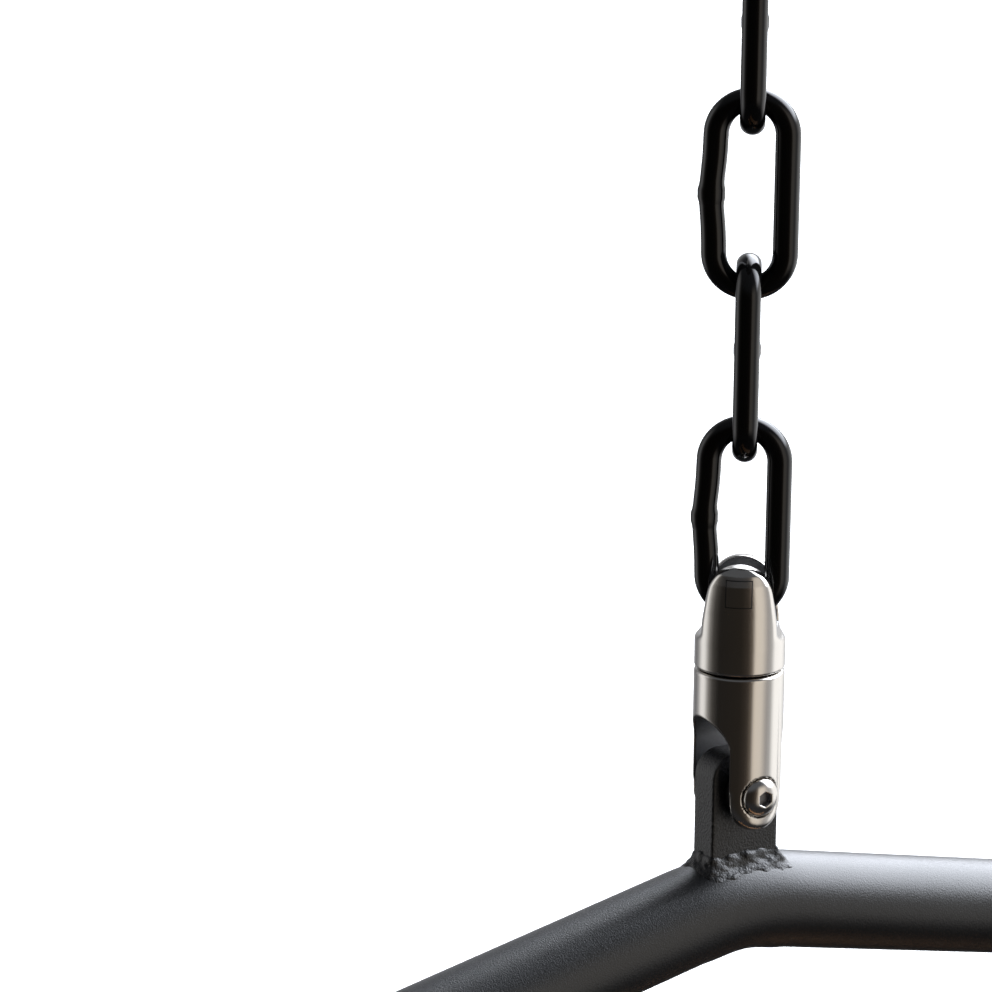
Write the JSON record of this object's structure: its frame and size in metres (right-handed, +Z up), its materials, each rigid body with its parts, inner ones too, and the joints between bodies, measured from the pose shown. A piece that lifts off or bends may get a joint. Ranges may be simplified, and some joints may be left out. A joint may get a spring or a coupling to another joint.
{
  "type": "porch swing",
  "caption": "Two-seat slatted porch swing in a bent steel tube hoop, hung from one point by a long-link chain and a stainless swivel with a welded lug.",
  "frame": {"origin": "centre of the ceiling plate's top face, the face that is screwed to the joist", "axes": "+Z up, out of the ceiling plate; +X along the bench and the hoop; the sitter faces -Y"},
  "size_m": [1.2844, 0.5905, 1.6779],
  "materials": {
    "coated_steel": "matte",
    "chain_coating": "gloss",
    "stainless": "satin",
    "acetal": "matte",
    "teak": "satin"
  },
  "bodies": {
    "ceiling": {"ceiling_plate": "coated_steel", "ceiling_eye": "coated_steel"},
    "top_link": {"chain_link_1": "chain_coating"},
    "lower_chain": {"chain_link_2": "chain_coating", "chain_link_3": "chain_coating", "chain_link_4": "chain_coating", "chain_link_5": "chain_coating"},
    "yoke": {"swivel_upper_yoke": "stainless", "swivel_upper_pin": "stainless", "swivel_spindle": "stainless", "swivel_thrust_washer": "acetal"},
    "fork": {"swivel_lower_fork": "stainless", "clevis_screw": "stainless", "clevis_spacer_front": "acetal", "clevis_spacer_rear": "acetal"},
    "swing": {"lug": "coated_steel", "lug_weld": "coated_steel", "hanger_tube": "coated_steel", "bottom_tube": "coated_steel", "upright_left": "coated_steel", "upright_right": "coated_steel", "spigot_upper_left": "stainless", "spigot_upper_right": "stainless", "spigot_lower_left": "stainless", "spigot_lower_right": "stainless", "spigot_screw_upper_left": "stainless", "spigot_screw_upper_right": "stainless", "spigot_screw_lower_left": "stainless", "spigot_screw_lower_right": "stainless", "bearer_left": "coated_steel", "bearer_middle": "coated_steel", "bearer_right": "coated_steel", "saddle_left": "coated_steel", "saddle_middle": "coated_steel", "saddle_right": "coated_steel", "seat_slat_1": "teak", "seat_slat_2": "teak", "seat_slat_3": "teak", "seat_slat_4": "teak", "seat_slat_5": "teak", "back_slat_1": "teak", "back_slat_2": "teak", "back_slat_3": "teak", "back_slat_4": "teak", "back_slat_5": "teak", "arm_rail_left": "coated_steel", "armrest_left": "teak", "arm_bolt_left": "stainless", "arm_nut_left": "stainless", "arm_bush_left": "coated_steel", "arm_rail_right": "coated_steel", "armrest_right": "teak", "arm_bolt_right": "stainless", "arm_nut_right": "stainless", "arm_bush_right": "coated_steel"}
  },
  "joints": [
    {"name": "ceiling_swing", "type": "hinge", "parent": "ceiling", "child": "top_link", "pos_m": [0, 0, -0.0318], "axis": [0.6143, 0.7891, 0], "range_deg": [-15, 15]},
    {"name": "link_swing", "type": "hinge", "parent": "top_link", "child": "lower_chain", "pos_m": [0, 0, -0.0824], "axis": [-0.8202, 0.5721, 0], "range_deg": [-15, 15]},
    {"name": "yoke_tilt", "type": "hinge", "parent": "lower_chain", "child": "yoke", "pos_m": [0, 0, -0.2825], "axis": [0.6143, 0.7891, 0], "range_deg": [-30, 30]},
    {"name": "swivel_turn", "type": "hinge", "parent": "yoke", "child": "fork", "pos_m": [0, 0, -0.3096], "axis": [0, 0, 1], "continuous": true},
    {"name": "clevis_tilt", "type": "hinge", "parent": "fork", "child": "swing", "pos_m": [0, 0, -0.35], "axis": [0, 1, 0], "range_deg": [-25, 25]}
  ]
}
